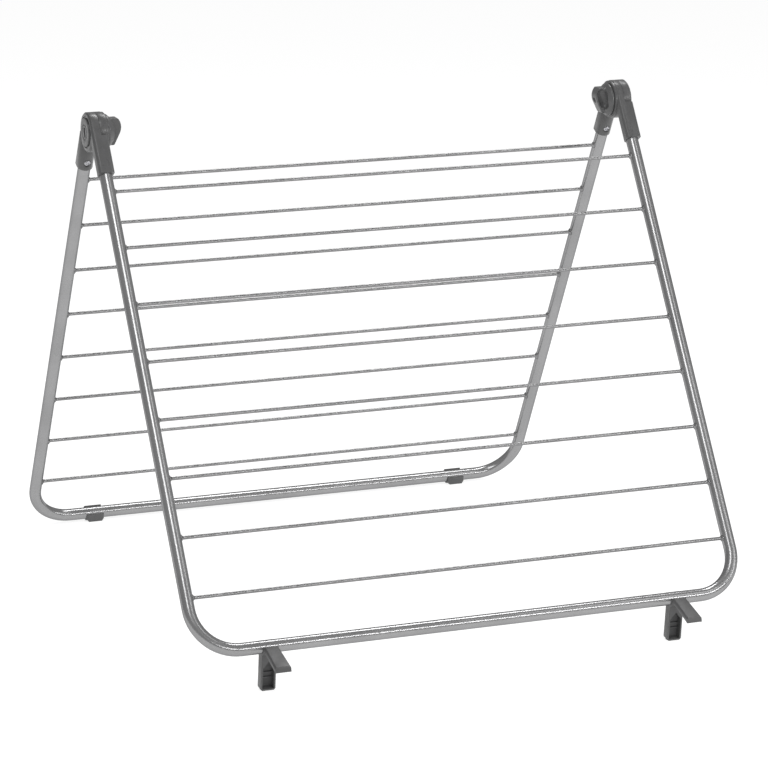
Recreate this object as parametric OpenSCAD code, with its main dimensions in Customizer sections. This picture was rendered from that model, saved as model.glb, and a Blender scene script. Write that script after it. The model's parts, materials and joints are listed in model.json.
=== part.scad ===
// Folding A-frame clothes airer. Two bent-tube frames with straight drying rods are
// hinged together at the top by clamped plastic arms, and stand on four clip-on feet.
// Millimetres. X runs along the rods, -Y is the front frame's side, +Z is up.
// The origin is the centre of the footprint, on the floor.

/* [Frames] */
// Distance between the centre lines of a frame's two legs
frame_w = 645; // [560:1:700]
// Distance from the hinge axis to the bottom bar, along the legs
leg_len = 617; // [605:1:660]
// Distance from the hinge axis to the plane of each frame
frame_offset = 13.3; // [13.3:0.1:15]
// Outer diameter of the frame tube
tube_d = 14.5; // [13.5:0.5:14.5]
// Wall of the frame tube
tube_wall = 1; // [0.8:0.1:1.5]
// Centre-line radius of the tube's two bends
bend_r = 50; // [40:1:55]

/* [Rods] */
// Number of drying rods in each frame
rod_count = 8; // [8]
// Diameter of a drying rod
rod_d = 4; // [3:0.1:4.5]
// Distance from the hinge axis to the first rod, along the legs
first_rod = 79.5; // [75:0.5:85]
// Distance from one rod to the next
rod_pitch = 67.8; // [60:0.1:68]
// How far a rod's end stands inside the tube's bore
rod_grip = 1.5; // [0.5:0.5:3]

/* [Stance] */
// Angle between the two frames
opening = 62.2; // [40:0.1:80]
// Height of the front bar's centre above the floor
front_foot_h = 50.5; // [49:0.5:52]
// Height of the rear bar's centre above the floor
rear_foot_h = 9.4; // [9.3:0.1:11]
// Distance of each foot from the middle of its bar
foot_x = 242; // [180:1:250]

/* [Hinge arms] */
// Radius of the half-thickness disc
disc_r = 22.5; // [22:0.1:23]
// Width of an arm along the hinge axis
arm_w = 18.5; // [18:0.1:20]
// Distance from the hinge axis to the end of an arm's sleeve
sleeve_end = 59; // [57:1:62]
// Corner radius of the sleeve's outer face
sleeve_round = 4; // [2:0.5:5]
// Distance from the hinge axis to the tube's end inside the sleeve
tube_top = 30; // [27:1:36]
// Distance from the hinge axis to the screw that holds the tube
screw_z = 49; // [47:1:52]
// Height of the raised hub on the outer arm's disc
hub_h = 1.5; // [1:0.1:2]
// Radius of the raised hub
hub_r = 16.2; // [15:0.1:17]
// Height of the knob's round seat on the inner arm's disc
seat_h = 2.2; // [1.5:0.1:2.5]

/* [Clamp] */
// Radius of the clamp bolt's shank
bolt_r = 3; // [2.5:0.5:3]
// Radius of the knob's base
knob_r = 19.5; // [18:0.5:20]
// Thickness of the knob's base
knob_base = 8.2; // [7.5:0.1:9]
// Height of the knob's wing above its base
wing_h = 10.2; // [9.5:0.1:12]
// Thickness of the knob's wing
wing_t = 14; // [13:0.5:16]

/* [Feet] */
// Width of a hook foot along the bar
hook_w = 16.8; // [14:0.2:18]
// Outer radius of a foot's clip round the tube
clip_r = 9.2; // [9:0.1:9.3]
// Lean of the hook foot's finger, its tip towards the other frame
finger_lean = 5.6; // [0:0.1:8]
// Slope of the hook foot's pad below the horizontal
pad_slope = 15; // [12:1:25]
// Length of the pad from the bar's centre, along its slope
pad_len = 51; // [45:1:54]
// Width of the pad at its free end
pad_w = 18.2; // [17:0.1:20]
// Width of a clip foot along the bar
clip_w = 21.4; // [18:0.2:24]

/* [Hidden] */
RODS = [for (i = [1:rod_count]) i];

$fn = 64;
eps = 0.01;
reach = 60;                     // longer than any cut needs
fit = 0.05;                     // radial clearance of a turning or sliding fit
snug = 0.02;                    // radial clearance of parts that are fixed together
leg_x = frame_w / 2;
tube_r = tube_d / 2;
rod_r = rod_d / 2;

// The frame stands tilted, because the hook feet are taller than the clip feet
tilt = asin((front_foot_h - rear_foot_h)
    / (2 * leg_len * sin(opening / 2) + 2 * frame_offset * cos(opening / 2)));
front_angle = opening / 2 + tilt;
rear_angle = opening / 2 - tilt;
hinge_z = rear_foot_h + leg_len * cos(rear_angle) - frame_offset * sin(rear_angle);
front_bar_y = -leg_len * sin(front_angle) - frame_offset * cos(front_angle);
rear_bar_y = leg_len * sin(rear_angle) + frame_offset * cos(rear_angle);
front_reach = front_bar_y - pad_len * cos(pad_slope);
rear_reach = rear_bar_y + clip_r;
hinge_y = -(front_reach + rear_reach) / 2;

// Hinge stack, outwards from the middle of an arm
joint_gap = 0.3;                // between the two discs
joint_in = 1.1;                 // the discs meet this far inwards of the legs' centre line
disc_clear = 0.5;               // round a disc, inside the other arm's shoulder
shoulder_z = 14;                // the shoulder is cut off level here, below the hinge axis
disc_face = arm_w / 2;
disc_rim = 1.4;                 // chamfer of a disc's outer edge
hub_face = disc_face + hub_h;
hub_rim = 0.4;
seat_face = disc_face + seat_h;
seat_r = disc_r - 0.5;
seat_rim = 0.8;
groove_out = hub_r + 1.8;       // a groove surrounds the hub
groove_depth = 1;
ring_in = 8;                    // a shallow ring surrounds the bolt's pocket
ring_out = 9;
ring_depth = 0.5;
slot_w = 6;                     // pocket for the bolt's T-shaped head
slot_h = 11;
slot_depth = 5;
slot_turn = -22;                // of the pocket, from the leg's direction
head_t = 3;
head_play = 0.2;
washer_t = 1.2;
washer_r = 9.5;
washer_play = 1;                // round the washer, inside the knob
stack_gap = 0.05;               // between the faces of the clamped pieces
washer_in = seat_face + stack_gap;
washer_out = washer_in + washer_t;
knob_in = seat_face + 0.3;
knob_floor = washer_out + stack_gap;
knob_top = knob_in + knob_base;
knob_skirt = 2.3;               // height of the base's straight edge, below its cone
knob_top_r = 14.5;
insert_r = 4;
insert_h = 5;
insert_in = knob_floor;
shank_end = insert_in + insert_h + 1;
end_hole_r = 3.2;               // shallow hole in the wing's end
end_hole_depth = 3;
wing_top = 15;                  // above and below the knob's axis
wing_bottom = -15.2;
wing_root = 5;                  // how far the wing's outline starts inside the base
wing_edge_r = 15.7;             // the outer edge bulges with this radius round edge_z
wing_edge_z = 5;
wing_slope = 26.2;              // of the outer edge below its bulge, from the upright
wing_corner = 2;
scoop_r = 6;                    // thumb hollow in one face of the wing
scoop_depth = 3;
scoop_x = 0.35;                 // from the base's top to the middle of the hollow's lower end
scoop_z = -3.6;
scoop_len = 12.7;
scoop_lean = 17;

// Tube screw
sleeve_r = arm_w / 2;
screw_r = 1.75;
screw_head_r = 3.65;
screw_head_h = 2.4;
screw_len = 9;
screw_sink = 1.2;               // depth of the round recess that the head sits in
screw_ring = 0.9;               // gap round the head, inside the recess
recess_w = 1.4;                 // cross slot in the head
recess_len = 5;
recess_depth = 1.6;

// Hook foot
lip_front = 163;                // the clip's mouth is open between these two directions
lip_back = 33;
finger_front = -4.1;
finger_back = 6.2;
finger_wall = 1.8;
gable_top = -16;
gable_foot = -24.5;
hollow_floor = -48.6;
rib_z = [-32.5, -38.5];
rib_t = 1.4;
rib_front = 2.5;
tip_bevel = 4;
tip_corner = 2;                 // chamfer of the finger's lower corners
pad_top = 5.6;                  // height of the pad's face over the bar's centre line
pad_t = 5.2;
pad_root_w = 15.8;
pad_end_rise = 3;               // the end face leans back this far
pad_wall = 2.4;
pad_edge = 1.6;                 // chamfer along the pad's top edges

// Clip foot
clip_lip_front = 178;
clip_lip_back = 62;
block_half = 8.8;
block_chamfer_x = 2.3;
block_chamfer_z = 3.5;

silver = "silver";
grey = [0.42, 0.42, 0.43];
steel = [0.8, 0.8, 0.8];

function arc(centre, r, a0, a1, steps = 8) =
    [for (i = [0:steps]) let (a = a0 + (a1 - a0) * i / steps) centre + r * [cos(a), sin(a)]];

// A frame is drawn hanging down from the hinge axis, in the plane y = frame_offset
module on_rear() {
    translate([0, hinge_y, hinge_z]) rotate([rear_angle, 0, 0]) children();
}

module on_front() {
    translate([0, hinge_y, hinge_z]) rotate([-front_angle, 0, 0]) rotate([0, 0, 180]) children();
}

module at_front_bar(x) {
    translate([x, hinge_y + front_bar_y, front_foot_h]) children();
}

module at_rear_bar(x) {
    translate([x, hinge_y + rear_bar_y, rear_foot_h]) children();
}

module along_x(r, h) {
    rotate([0, 90, 0]) cylinder(r = r, h = h, center = true);
}

// A ring or disc whose axis is X, from x0 to x1
module disc_x(r, x0, x1) {
    translate([x0, 0, 0]) rotate([0, 90, 0]) cylinder(r = r, h = x1 - x0);
}

// A disc whose axis is X, with its edge chamfered by c at x1
module rimmed_disc_x(r, x0, x1, c) {
    rotate([0, 90, 0]) rotate_extrude()
        polygon([[0, x0], [r, x0], [r, x1 - c], [r - c, x1], [0, x1]]);
}

module u_shape(r, top) {
    bend_z = -(leg_len - bend_r);
    for (side = [0, 1]) mirror([side, 0, 0]) {
        translate([leg_x, 0, bend_z]) cylinder(r = r, h = -bend_z - top);
        translate([leg_x - bend_r, 0, bend_z]) rotate([-90, 0, 0])
            rotate_extrude(angle = 90) translate([bend_r, 0]) circle(r = r);
    }
    translate([0, 0, -leg_len]) along_x(r, 2 * (leg_x - bend_r));
}

module frame_tube() {
    color(silver) translate([0, frame_offset, 0]) difference() {
        u_shape(tube_r, tube_top);
        u_shape(tube_r - tube_wall, tube_top - 1);
        for (i = RODS, side = [0, 1]) mirror([side, 0, 0])
            translate([leg_x - tube_r / 2, 0, rod_z(i)]) along_x(rod_r + snug, tube_r);
        for (x = [-leg_x, leg_x])
            translate([x, 0, -screw_z]) rotate([90, 0, 0]) cylinder(r = screw_r + snug, h = tube_r + 1);
    }
}

function rod_z(i) = -(first_rod + (i - 1) * rod_pitch);

module rod(i) {
    color(silver) translate([0, frame_offset, rod_z(i)])
        along_x(rod_r, frame_w - tube_d + 2 * (tube_wall + rod_grip));
}

// Round towards the other frame, flat with rounded corners on the outside
module sleeve_section() {
    outer = disc_r - frame_offset;
    circle(r = sleeve_r);
    translate([-sleeve_r, 0]) square([arm_w, outer - sleeve_round]);
    translate([-sleeve_r + sleeve_round, 0]) square([arm_w - 2 * sleeve_round, outer]);
    for (x = [-1, 1])
        translate([x * (sleeve_r - sleeve_round), outer - sleeve_round]) circle(r = sleeve_round);
}

// The outer arm holds the bolt's head in its hub, the inner arm has a seat for the knob
module arm(inner) {
    joint_x = inner ? joint_in : -joint_in;
    disc_in = joint_x + joint_gap / 2;
    color(grey) difference() {
        union() {
            rimmed_disc_x(disc_r, disc_in, disc_face, disc_rim);
            if (inner) rimmed_disc_x(seat_r, disc_face - disc_rim, seat_face, seat_rim);
            if (!inner) rimmed_disc_x(hub_r, disc_face - disc_rim, hub_face, hub_rim);
            translate([0, frame_offset, -sleeve_end]) linear_extrude(sleeve_end) sleeve_section();
        }
        disc_x(disc_r + disc_clear, -arm_w, disc_in);
        translate([disc_in - reach, -reach / 2, -shoulder_z]) cube(reach);
        disc_x(bolt_r + fit, -arm_w, arm_w);
        if (!inner) hub_recesses();
        translate([0, frame_offset, -sleeve_end - 1])
            cylinder(r = tube_r + snug, h = sleeve_end - tube_top + 1 + snug);
        translate([0, frame_offset, -screw_z]) rotate([90, 0, 0]) {
            cylinder(r = screw_r + snug, h = arm_w);
            translate([0, 0, sleeve_r - screw_sink]) cylinder(r = screw_head_r + screw_ring, h = arm_w);
        }
    }
}

module hub_recesses() {
    rotate([slot_turn, 0, 0]) translate([hub_face - slot_depth, -slot_w / 2, -slot_h / 2])
        cube([arm_w, slot_w, slot_h]);
    difference() {
        disc_x(groove_out, disc_face - groove_depth, arm_w);
        disc_x(hub_r, 0, 2 * arm_w);
    }
    difference() {
        disc_x(ring_out, hub_face - ring_depth, arm_w);
        disc_x(ring_in, 0, 2 * arm_w);
    }
}

module clamp_bolt() {
    head_in = hub_face - slot_depth + snug;
    color(steel) {
        disc_x(bolt_r, -shank_end, head_in + 1);
        rotate([slot_turn, 0, 0]) translate([head_in, -slot_w / 2 + head_play, -slot_h / 2 + head_play])
            cube([head_t, slot_w - 2 * head_play, slot_h - 2 * head_play]);
    }
}

module clamp_washer() {
    color(steel) difference() {
        disc_x(washer_r, washer_in, washer_out);
        disc_x(bolt_r + fit, 0, reach);
    }
}

module knob_insert() {
    color("gold") difference() {
        disc_x(insert_r, insert_in, insert_in + insert_h);
        disc_x(bolt_r + fit, 0, reach);
    }
}

// A point at a distance r and an angle a from a centre
function from(centre, r, a) = centre + r * [cos(a), sin(a)];

// Outline of the wing: a flat top, and an outer edge that bulges and then slopes in downwards
function wing_outline() =
    let (
        bulge = [wing_h - wing_edge_r, wing_edge_z],
        inner_r = wing_edge_r - wing_corner,
        upper = asin((wing_top - wing_corner - wing_edge_z) / inner_r),
        bend = from(bulge, inner_r, -wing_slope),
        run = (bend.y - wing_bottom - wing_corner) / cos(wing_slope)
    )
    concat(
        [[-wing_root, wing_top]],
        arc(from(bulge, inner_r, upper), wing_corner, 90, upper),
        arc(bulge, wing_edge_r, upper, -wing_slope),
        arc(from(bend, run, -90 - wing_slope), wing_corner, -wing_slope, -90),
        [[-wing_root, wing_bottom]]
    );

// A leaning thumb hollow, round at both ends
module scoop() {
    rotate([0, scoop_lean, 0]) {
        for (z = [0, scoop_len]) translate([0, 0, z]) sphere(r = scoop_r);
        cylinder(r = scoop_r, h = scoop_len);
    }
}

module clamp_knob() {
    color(grey) difference() {
        union() {
            rotate([0, 90, 0]) rotate_extrude() polygon([
                [0, knob_in], [knob_r, knob_in], [knob_r, knob_in + knob_skirt],
                [knob_top_r, knob_top], [0, knob_top]
            ]);
            translate([knob_top, wing_t / 2, 0]) rotate([90, 0, 0])
                linear_extrude(wing_t) polygon(wing_outline());
        }
        disc_x(washer_r + washer_play, 0, knob_floor);
        disc_x(insert_r + snug, 0, insert_in + insert_h + snug);
        disc_x(bolt_r + 2 * fit, 0, shank_end + 1);
        disc_x(end_hole_r, knob_top + wing_h - end_hole_depth, reach);
        translate([knob_top + scoop_x, wing_t / 2 + scoop_r - scoop_depth, scoop_z]) scoop();
    }
}

module tube_screw() {
    face = frame_offset - sleeve_r + screw_sink;
    color(steel) translate([0, face, -screw_z]) rotate([-90, 0, 0]) difference() {
        union() {
            translate([0, 0, -eps]) cylinder(r = screw_r, h = screw_len);
            translate([0, 0, -screw_head_h]) intersection() {
                cylinder(r = screw_head_r, h = screw_head_h);
                translate([0, 0, screw_head_r + 0.6]) sphere(r = screw_head_r + 0.6);
            }
        }
        for (turn = [0, 90]) rotate([0, 0, turn])
            translate([-recess_len / 2, -recess_w / 2, -screw_head_h - 1])
                cube([recess_len, recess_w, recess_depth + 1]);
    }
}

// Removes the mouth of a clip, between two directions measured from +Y towards +Z
module clip_mouth(a0, a1, w) {
    middle = (a0 + a1) / 2;
    points = [[0, 0], for (a = [a0, middle, a1]) 2 * clip_r * [cos(a), sin(a)]];
    translate([-w / 2, 0, 0]) rotate([90, 0, 90]) linear_extrude(w) polygon(points);
}

// The finger hangs below the bar and is open at the front, under a gable
module finger() {
    half = hook_w / 2;
    inner = half - finger_wall;
    rotate([finger_lean, 0, 0]) {
        difference() {
            translate([-half, finger_front, -reach]) cube([hook_w, finger_back - finger_front, reach]);
            translate([0, finger_back - finger_wall, 0]) rotate([90, 0, 0])
                linear_extrude(arm_w) polygon([
                    [-inner, hollow_floor], [inner, hollow_floor],
                    [inner, gable_foot], [0, gable_top], [-inner, gable_foot]
                ]);
            translate([-half - 1, finger_back, -front_foot_h + 3]) rotate([-35, 0, 0])
                translate([0, 0, -2 * tip_bevel]) cube([hook_w + 2, 2 * tip_bevel, 3 * tip_bevel]);
            for (side = [-1, 1]) translate([side * half, 0, -front_foot_h]) rotate([0, 45, 0])
                cube([sqrt(2) * tip_corner, reach, sqrt(2) * tip_corner], center = true);
        }
        for (z = rib_z)
            translate([-inner - eps, rib_front, z])
                cube([2 * (inner + eps), finger_back - finger_wall - rib_front + eps, rib_t]);
    }
}

// The sloping pad, wider at its free end and ribbed along both edges underneath
module pad() {
    low = pad_top - pad_t;
    side = [
        [-tube_r, pad_top], [-pad_len + pad_end_rise, pad_top], [-pad_len, 0],
        [-pad_len + 7, low], [-tube_r, low]
    ];
    plan = [
        [-pad_root_w / 2, 0], [-pad_w / 2, -pad_len], [pad_w / 2, -pad_len], [pad_root_w / 2, 0]
    ];
    pad_flare = atan((pad_w - pad_root_w) / 2 / pad_len);
    rotate([pad_slope, 0, 0]) difference() {
        intersection() {
            translate([-pad_w, 0, 0]) rotate([90, 0, 90]) linear_extrude(2 * pad_w) polygon(side);
            translate([0, 0, -1]) linear_extrude(2 * pad_top) polygon(plan);
        }
        for (edge = [0, 1]) mirror([edge, 0, 0])
            translate([pad_root_w / 2, 0, pad_top]) rotate([0, 0, pad_flare]) rotate([0, 45, 0])
                cube([sqrt(2) * pad_edge, 3 * pad_len, sqrt(2) * pad_edge], center = true);
        translate([-pad_root_w / 2 + pad_wall, -pad_len + 6, -1])
            cube([pad_root_w - 2 * pad_wall, pad_len - 6 - clip_r, pad_top + 1 - pad_wall]);
    }
}

module hook_foot() {
    color(grey) difference() {
        union() {
            along_x(clip_r, hook_w);
            finger();
            pad();
        }
        along_x(tube_r + fit, reach);
        clip_mouth(lip_back, lip_front, reach);
        translate([-reach / 2, -reach / 2, -front_foot_h - reach]) cube([reach, reach, reach]);
    }
}

module clip_foot() {
    half = clip_w / 2;
    color(grey) difference() {
        union() {
            along_x(clip_r, clip_w);
            translate([0, block_half, 0]) rotate([90, 0, 0]) linear_extrude(2 * block_half) polygon([
                [-half, 0], [-half, -rear_foot_h + block_chamfer_z],
                [-half + block_chamfer_x, -rear_foot_h], [half - block_chamfer_x, -rear_foot_h],
                [half, -rear_foot_h + block_chamfer_z], [half, 0]
            ]);
        }
        along_x(tube_r + fit, reach);
        clip_mouth(clip_lip_back, clip_lip_front, reach);
    }
}

module left_clamp() {
    translate([-leg_x, hinge_y, hinge_z]) children();
}

module right_clamp() {
    translate([leg_x, hinge_y, hinge_z]) rotate([0, 0, 180]) children();
}

on_front() frame_tube();  // front_frame_tube
on_rear() frame_tube();  // rear_frame_tube
for (i = RODS) {
    on_front() rod(i);
    on_rear() rod(i);
}
// The front frame is turned round, so its left side is the drawing's +x side
on_front() translate([leg_x, 0, 0]) arm(false);  // front_arm_left
on_front() translate([-leg_x, 0, 0]) arm(true);  // front_arm_right
on_rear() translate([-leg_x, 0, 0]) arm(true);  // rear_arm_left
on_rear() translate([leg_x, 0, 0]) arm(false);  // rear_arm_right
on_front() translate([leg_x, 0, 0]) clamp_bolt();  // clamp_bolt_left
on_rear() translate([leg_x, 0, 0]) clamp_bolt();  // clamp_bolt_right
left_clamp() clamp_washer();  // clamp_washer_left
right_clamp() clamp_washer();  // clamp_washer_right
left_clamp() clamp_knob();  // clamp_knob_left
right_clamp() clamp_knob();  // clamp_knob_right
left_clamp() knob_insert();  // knob_insert_left
right_clamp() knob_insert();  // knob_insert_right
on_front() translate([leg_x, 0, 0]) tube_screw();  // tube_screw_front_left
on_front() translate([-leg_x, 0, 0]) tube_screw();  // tube_screw_front_right
on_rear() translate([-leg_x, 0, 0]) tube_screw();  // tube_screw_rear_left
on_rear() translate([leg_x, 0, 0]) tube_screw();  // tube_screw_rear_right
at_front_bar(-foot_x) hook_foot();  // hook_foot_left
at_front_bar(foot_x) hook_foot();  // hook_foot_right
at_rear_bar(-foot_x) clip_foot();  // clip_foot_left
at_rear_bar(foot_x) clip_foot();  // clip_foot_right
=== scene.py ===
"""Looks of the folding A-frame clothes airer: materials, detailed pieces, studio and camera.

Everything is in metres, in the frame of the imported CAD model: X runs along the drying rods,
-Y is the front frame's side and +Z is up. Sizes of the new pieces are given in millimetres
and turned into metres by mm().
"""

import json
import math

import bmesh
import bpy
from mathutils import Matrix, Vector


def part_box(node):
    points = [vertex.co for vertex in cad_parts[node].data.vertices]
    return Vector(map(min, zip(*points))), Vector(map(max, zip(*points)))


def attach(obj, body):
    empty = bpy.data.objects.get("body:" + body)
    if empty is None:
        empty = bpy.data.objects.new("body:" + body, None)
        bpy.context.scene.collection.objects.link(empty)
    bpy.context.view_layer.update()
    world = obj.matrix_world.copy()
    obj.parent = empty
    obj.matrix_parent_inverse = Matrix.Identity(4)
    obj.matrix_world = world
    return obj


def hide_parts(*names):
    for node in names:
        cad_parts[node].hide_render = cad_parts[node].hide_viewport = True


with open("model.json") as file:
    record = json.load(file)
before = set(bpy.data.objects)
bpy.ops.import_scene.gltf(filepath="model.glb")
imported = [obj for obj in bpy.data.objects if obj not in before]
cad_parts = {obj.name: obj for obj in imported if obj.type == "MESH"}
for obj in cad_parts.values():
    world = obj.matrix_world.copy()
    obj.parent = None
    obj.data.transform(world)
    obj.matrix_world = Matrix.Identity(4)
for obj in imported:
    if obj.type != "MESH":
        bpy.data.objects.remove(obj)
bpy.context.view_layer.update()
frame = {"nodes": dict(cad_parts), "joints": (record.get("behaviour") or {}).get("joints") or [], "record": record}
nodes = frame["nodes"]


def mm(value):
    return value / 1000


SIDES = ("left", "right")
FRAMES = ("front", "rear")
ROD_NUMBERS = range(1, 9)
TUBE_D = mm(14.5)  # outer diameter of the frame tubes
bodies = frame["record"]["behaviour"]["bodies"]
joints = {joint["name"]: joint for joint in frame["joints"]}
hinge = Vector(joints["fold"]["pos_m"])


def body_of(node):
    return next(name for name, members in bodies.items() if node in members)


# ---------------------------------------------------------------- camera
CAM_YAW = math.radians(21.23)
CAM_PITCH = math.radians(15.075)
CAM_ROLL = math.radians(0.49)
LENS = 164.71
SENSOR = 36.0
HINGE_IN_VIEW = Vector((-0.0247, 0.3106, -4.0541))  # right of, above and behind the lens


def add_camera():
    data = bpy.data.cameras.new("camera")
    data.lens = LENS
    data.sensor_width = SENSOR
    data.clip_end = 50
    camera = bpy.data.objects.new("camera", data)
    bpy.context.scene.collection.objects.link(camera)
    ahead = Vector((
        math.sin(CAM_YAW) * math.cos(CAM_PITCH),
        math.cos(CAM_YAW) * math.cos(CAM_PITCH),
        -math.sin(CAM_PITCH),
    ))
    level = Vector((math.cos(CAM_YAW), -math.sin(CAM_YAW), 0))
    above = level.cross(ahead)
    right = level * math.cos(CAM_ROLL) + above * math.sin(CAM_ROLL)
    up = above * math.cos(CAM_ROLL) - level * math.sin(CAM_ROLL)
    turn = Matrix((right, up, -ahead)).transposed()
    camera.matrix_world = Matrix.Translation(hinge - turn @ HINGE_IN_VIEW) @ turn.to_4x4()
    bpy.context.scene.camera = camera


# ---------------------------------------------------------------- studio
FLOOR_HALF = 8
FLOOR_SHADE = 0.4
FLOOR_GLOW = 0.8  # keeps the floor white under soft light, with next to no shadow
WORLD_GLOW = 0.4
LIGHTS_AIM = Vector((0, 0, 0.3))
SOFTBOXES = [  # name, place, width and height, radiance
    ("top_softbox", (0.86, 1.1, 2.6), (1.2, 0.5), 12),
    ("front_softbox", (-0.75, -1.25, 2.3), (0.8, 1.6), 4.5),
    ("low_strip", (1.05, -2.8, 1.3), (2.4, 0.25), 12),
    ("right_softbox", (1.5, -1.45, 2.2), (0.45, 1.2), 2),
    ("side_softbox", (2.4, -1.5, 1.1), (0.5, 1.4), 3),
]


def add_floor():
    mesh = bpy.data.meshes.new("floor")
    half = FLOOR_HALF
    corners = [(-half, -half, 0), (half, -half, 0), (half, half, 0), (-half, half, 0)]
    mesh.from_pydata(corners, [], [(0, 1, 2, 3)])
    floor = bpy.data.objects.new("floor", mesh)
    bpy.context.scene.collection.objects.link(floor)
    material = bpy.data.materials.new("studio_floor")
    material.use_nodes = True
    shader = material.node_tree.nodes["Principled BSDF"]
    shader.inputs["Base Color"].default_value = (FLOOR_SHADE, FLOOR_SHADE, FLOOR_SHADE, 1)
    shader.inputs["Roughness"].default_value = 1
    shader.inputs["Specular IOR Level"].default_value = 0
    shader.inputs["Emission Color"].default_value = (1, 1, 1, 1)
    shader.inputs["Emission Strength"].default_value = FLOOR_GLOW
    mesh.materials.append(material)


def add_softbox(name, place, size, radiance):
    """A rectangular light aimed at the middle of the airer, with the same brightness all over."""
    data = bpy.data.lights.new(name, "AREA")
    data.shape = "RECTANGLE"
    data.size, data.size_y = size
    data.energy = radiance * math.pi * size[0] * size[1]
    light = bpy.data.objects.new(name, data)
    bpy.context.scene.collection.objects.link(light)
    light.location = place
    light.rotation_mode = "QUATERNION"
    light.rotation_quaternion = (LIGHTS_AIM - Vector(place)).to_track_quat("-Z", "Y")


def add_studio():
    world = bpy.data.worlds.new("studio")
    world.use_nodes = True
    background = world.node_tree.nodes["Background"]
    background.inputs["Color"].default_value = (1, 1, 1, 1)
    background.inputs["Strength"].default_value = WORLD_GLOW
    bpy.context.scene.world = world
    view = bpy.context.scene.view_settings
    view.view_transform = "Standard"
    view.look = "None"
    for softbox in SOFTBOXES:
        add_softbox(*softbox)


# ---------------------------------------------------------------- materials
class Nodes:
    """A short way to write a procedural material's node tree."""

    def __init__(self, name, roughness, metallic=0.0, specular=0.5):
        self.material = bpy.data.materials.new(name)
        self.material.use_nodes = True
        self.tree = self.material.node_tree
        self.shader = self.tree.nodes["Principled BSDF"]
        self.shader.inputs["Roughness"].default_value = roughness
        self.shader.inputs["Metallic"].default_value = metallic
        self.shader.inputs["Specular IOR Level"].default_value = specular
        self.place = self.add("ShaderNodeTexCoord").outputs["Object"]

    def add(self, kind, **values):
        node = self.tree.nodes.new(kind)
        for key, value in values.items():
            if key in node.inputs:
                node.inputs[key].default_value = value
            else:
                setattr(node, key, value)
        return node

    def link(self, output, target):
        self.tree.links.new(output, target)

    def noise(self, scale, detail=3.0, stretch=(1, 1, 1)):
        mapping = self.add("ShaderNodeMapping")
        mapping.inputs["Scale"].default_value = stretch
        self.link(self.place, mapping.inputs["Vector"])
        noise = self.add("ShaderNodeTexNoise", Scale=scale, Detail=detail)
        self.link(mapping.outputs["Vector"], noise.inputs["Vector"])
        return noise.outputs["Fac"]

    def ramp(self, factor, stops):
        ramp = self.add("ShaderNodeValToRGB")
        elements = ramp.color_ramp.elements
        while len(elements) < len(stops):
            elements.new(0.5)
        for element, (at, colour) in zip(elements, stops):
            element.position = at
            element.color = (*colour, 1)
        self.link(factor, ramp.inputs["Fac"])
        return ramp.outputs["Color"]

    def mix(self, factor, a, b):
        mix = self.add("ShaderNodeMix", data_type="RGBA")
        self.link(factor, mix.inputs[0])
        self.link(a, mix.inputs[6])
        self.link(b, mix.inputs[7])
        return mix.outputs[2]

    def bump(self, heights):
        """heights is a list of (noise output, strength, distance in metres)."""
        normal = None
        for height, strength, distance in heights:
            bump = self.add("ShaderNodeBump", Strength=strength, Distance=distance)
            self.link(height, bump.inputs["Height"])
            if normal:
                self.link(normal, bump.inputs["Normal"])
            normal = bump.outputs["Normal"]
        self.link(normal, self.shader.inputs["Normal"])


def grey(value):
    """A very slightly cool grey."""
    return (value, value, value * 1.01)


def silver_paint(name, shade):
    """Silver-grey powder coat: a fine metallic fleck under a soft, slightly orange-peeled gloss."""
    m = Nodes(name, roughness=0.24, metallic=0.8)
    fleck = m.noise(2600, 2)
    cloud = m.noise(14, 4)
    light = m.ramp(fleck, [(0.35, grey(shade * 0.9)), (0.7, grey(shade * 1.14))])
    dark = m.ramp(fleck, [(0.35, grey(shade * 0.8)), (0.7, grey(shade * 1.02))])
    patches = m.ramp(cloud, [(0.42, (0, 0, 0)), (0.62, (1, 1, 1))])
    m.link(m.mix(patches, light, dark), m.shader.inputs["Base Color"])
    rough = m.ramp(m.noise(60, 3), [(0.3, grey(0.2)), (0.7, grey(0.28))])
    m.link(rough, m.shader.inputs["Roughness"])
    m.shader.inputs["Specular Tint"].default_value = (0.25, 0.25, 0.26, 1)
    m.shader.inputs["Coat Weight"].default_value = 0.2
    m.shader.inputs["Coat Roughness"].default_value = 0.08
    m.shader.inputs["Coat Tint"].default_value = (0.6, 0.6, 0.6, 1)
    m.bump([(m.noise(420, 2), 0.07, 0.0003), (fleck, 0.02, 0.0001)])
    return m.material


def moulded_plastic(name, shade, gloss):
    """Dark grey moulded plastic: spark-eroded grain with faint flow marks and handling sheen."""
    m = Nodes(name, roughness=gloss, specular=0.45)
    flow = m.noise(30, 4, stretch=(1, 1, 0.4))
    colour = m.ramp(flow, [(0.3, grey(shade * 0.88)), (0.7, grey(shade * 1.12))])
    m.link(colour, m.shader.inputs["Base Color"])
    rough = m.ramp(m.noise(90, 3), [(0.3, grey(gloss - 0.06)), (0.7, grey(gloss + 0.08))])
    m.link(rough, m.shader.inputs["Roughness"])
    m.bump([(m.noise(1900, 3), 0.16, 0.00015), (m.noise(260, 2), 0.08, 0.0003)])
    return m.material


def plated_metal(name, colour, rough, line_scale):
    """Bright plating with fine turning lines."""
    m = Nodes(name, roughness=rough, metallic=1.0)
    lines = m.noise(line_scale, 2, stretch=(6, 1, 1))
    dim = tuple(c * 0.86 for c in colour)
    m.link(m.ramp(lines, [(0.3, dim), (0.7, colour)]), m.shader.inputs["Base Color"])
    worn = m.ramp(m.noise(200, 3), [(0.3, grey(rough * 0.8)), (0.7, grey(rough * 1.5))])
    m.link(worn, m.shader.inputs["Roughness"])
    m.bump([(lines, 0.1, 0.0001)])
    return m.material


def give(names, material):
    for name in names:
        nodes[name].data.materials.clear()
        nodes[name].data.materials.append(material)


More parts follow.
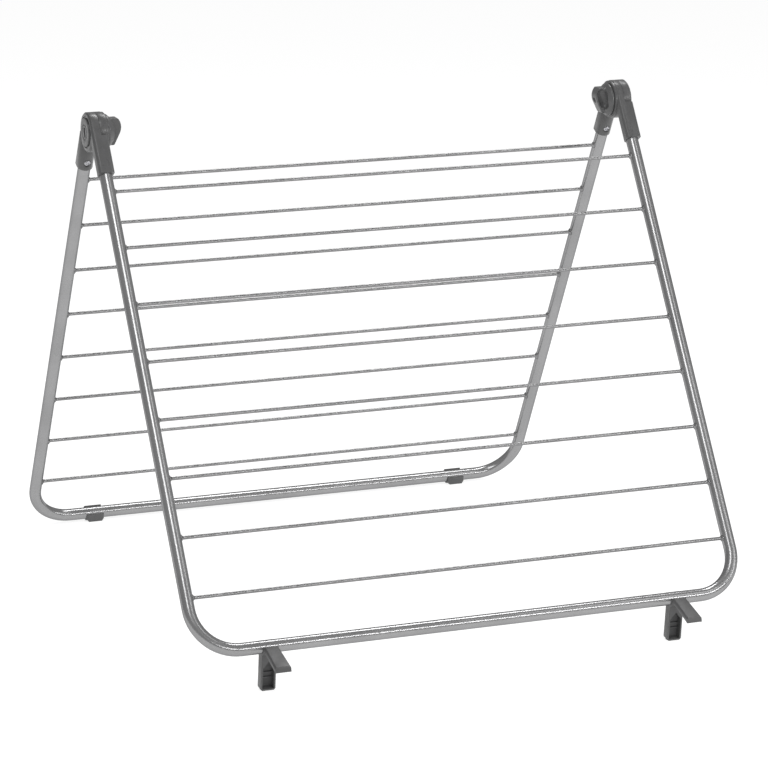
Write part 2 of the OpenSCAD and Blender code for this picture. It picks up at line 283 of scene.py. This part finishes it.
def dress_nodes():
    give([f"{f}_frame_tube" for f in FRAMES], frame_paint)
    # The rods get the darker copy of the silver paint, which is painted shade.
    give([f"{f}_rod_{i}" for f in FRAMES for i in ROD_NUMBERS], rod_paint)
    give([f"{f}_arm_{s}" for f in FRAMES for s in SIDES], hinge_plastic)
    give([f"clamp_knob_{s}" for s in SIDES], knob_plastic)
    give([f"{kind}_foot_{s}" for kind in ("hook", "clip") for s in SIDES], foot_plastic)
    give([f"tube_screw_{f}_{s}" for f in FRAMES for s in SIDES],
         plated_metal("screw_chrome", (0.48, 0.48, 0.5), 0.22, 900))
    give([f"clamp_{kind}_{s}" for kind in ("bolt", "washer") for s in SIDES],
         plated_metal("zinc_steel", (0.55, 0.56, 0.58), 0.3, 1200))
    give([f"knob_insert_{s}" for s in SIDES],
         plated_metal("insert_brass", (0.72, 0.52, 0.24), 0.3, 1500))


# ---------------------------------------------------------------- detailed pieces
ARM_EDGE = mm(0.5)
FOOT_EDGE = mm(0.45)
EDGE_SEGMENTS = 2
BEVEL_OVER = 28  # degrees between two faces
SHARP_OVER = 35
KNOB_VOXEL = mm(0.4)
KNOB_SOFTENING = 5


def new_piece(name, mesh, body, material):
    piece = bpy.data.objects.new(name, mesh)
    bpy.context.scene.collection.objects.link(piece)
    mesh.materials.clear()
    mesh.materials.append(material)
    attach(piece, body)
    return piece


def clean_copy(node, name):
    """The node's mesh with its seams closed and its flat faces whole, without stored normals."""
    mesh = bpy.data.meshes.new(name)
    bm = bmesh.new()
    bm.from_mesh(nodes[node].data)
    bmesh.ops.remove_doubles(bm, verts=bm.verts, dist=mm(0.005))
    flat = math.radians(0.6)
    bmesh.ops.dissolve_limit(bm, angle_limit=flat, verts=bm.verts, edges=bm.edges)
    bm.to_mesh(mesh)
    bm.free()
    return mesh


def apply_modifiers(piece, sharp_over):
    """Leaves the modified shape as the piece's own mesh, smooth except at edges over an angle."""
    shape = piece.evaluated_get(bpy.context.evaluated_depsgraph_get())
    mesh = bpy.data.meshes.new_from_object(shape)
    piece.modifiers.clear()
    piece.data = mesh
    mesh.shade_smooth()
    mesh.set_sharp_from_angle(angle=math.radians(sharp_over))


def moulded_piece(node, material, edge):
    """Stands for a plastic CAD node, with the small edge radius that a moulding has."""
    name = f"{node}_moulding"
    piece = new_piece(name, clean_copy(node, name), body_of(node), material)
    bevel = piece.modifiers.new("edge_radius", "BEVEL")
    bevel.width = edge
    bevel.segments = EDGE_SEGMENTS
    bevel.limit_method = "ANGLE"
    bevel.angle_limit = math.radians(BEVEL_OVER)
    bevel.use_clamp_overlap = True
    apply_modifiers(piece, SHARP_OVER)
    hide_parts(node)


def add_mouldings():
    for side in SIDES:
        for name in FRAMES:
            moulded_piece(f"{name}_arm_{side}", hinge_plastic, ARM_EDGE)
        for kind in ("hook", "clip"):
            moulded_piece(f"{kind}_foot_{side}", foot_plastic, FOOT_EDGE)


def add_knobs():
    """Knobs with softly rounded edges and hollow, smooth all over."""
    for side in SIDES:
        node = f"clamp_knob_{side}"
        name = f"{node}_moulding"
        piece = new_piece(name, clean_copy(node, name), body_of(node), knob_plastic)
        remesh = piece.modifiers.new("even_mesh", "REMESH")
        remesh.mode = "VOXEL"
        remesh.voxel_size = KNOB_VOXEL
        soften = piece.modifiers.new("soft_edges", "SMOOTH")
        soften.factor = 0.5
        soften.iterations = KNOB_SOFTENING
        apply_modifiers(piece, 180)
        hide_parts(node)


# A weld's outline in millimetres: how far along the rod from the tube's inner side, how far out
WELD_PROFILE = [(-1, 2.1), (0.1, 1.9), (0.6, 1.2), (1.1, 0.6), (1.8, 0.15), (2.1, -0.2)]
WELD_SEGMENTS = 20


def weld_ring(bm, place, side, rod_r, seed):
    """A slightly lumpy fillet of weld round a rod's end, on the tube's inner side."""
    rings = []
    for along, out in WELD_PROFILE:
        ring = []
        for i in range(WELD_SEGMENTS):
            turn = 2 * math.pi * i / WELD_SEGMENTS
            lump = 1 + 0.1 * math.sin(2 * turn + seed) + 0.07 * math.sin(5 * turn + 2.3 * seed)
            reach = rod_r + mm(out) * lump
            ring.append(bm.verts.new((
                place.x - side * mm(along),
                place.y + reach * math.cos(turn),
                place.z + reach * math.sin(turn),
            )))
        rings.append(ring)
    for near, far in zip(rings, rings[1:]):
        for i in range(WELD_SEGMENTS):
            after = (i + 1) % WELD_SEGMENTS
            bm.faces.new((near[i], near[after], far[after], far[i]))
    bm.faces.new(rings[0])
    bm.faces.new(rings[-1][::-1])


def add_welds():
    """One piece a frame: the welds at both ends of its rods."""
    for name in FRAMES:
        low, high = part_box(f"{name}_frame_tube")
        leg_inside = (high.x - low.x) / 2 - TUBE_D
        middle = (high.x + low.x) / 2
        bm = bmesh.new()
        for i in ROD_NUMBERS:
            low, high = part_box(f"{name}_rod_{i}")
            rod_r = (high.z - low.z) / 2
            for side in (-1, 1):
                place = (low + high) / 2
                place.x = middle + side * leg_inside
                weld_ring(bm, place, side, rod_r, 1.7 * i + side)
        bmesh.ops.recalc_face_normals(bm, faces=bm.faces)
        mesh = bpy.data.meshes.new(f"{name}_rod_welds")
        bm.to_mesh(mesh)
        bm.free()
        mesh.shade_smooth()
        new_piece(mesh.name, mesh, f"{name}_frame", rod_paint)


add_camera()
add_floor()
add_studio()
frame_paint = silver_paint("frame_paint", 0.36)
# Painted shade: the rods and their welds use the frame's silver paint darkened from 0.36 to 0.28, so the thin rods
# come out darker under the softboxes' streaks.
rod_paint = silver_paint("rod_paint", 0.28)
hinge_plastic = moulded_plastic("hinge_plastic", 0.082, 0.32)
knob_plastic = moulded_plastic("knob_plastic", 0.085, 0.3)
foot_plastic = moulded_plastic("foot_plastic", 0.084, 0.45)
dress_nodes()
add_mouldings()
add_knobs()
add_welds()
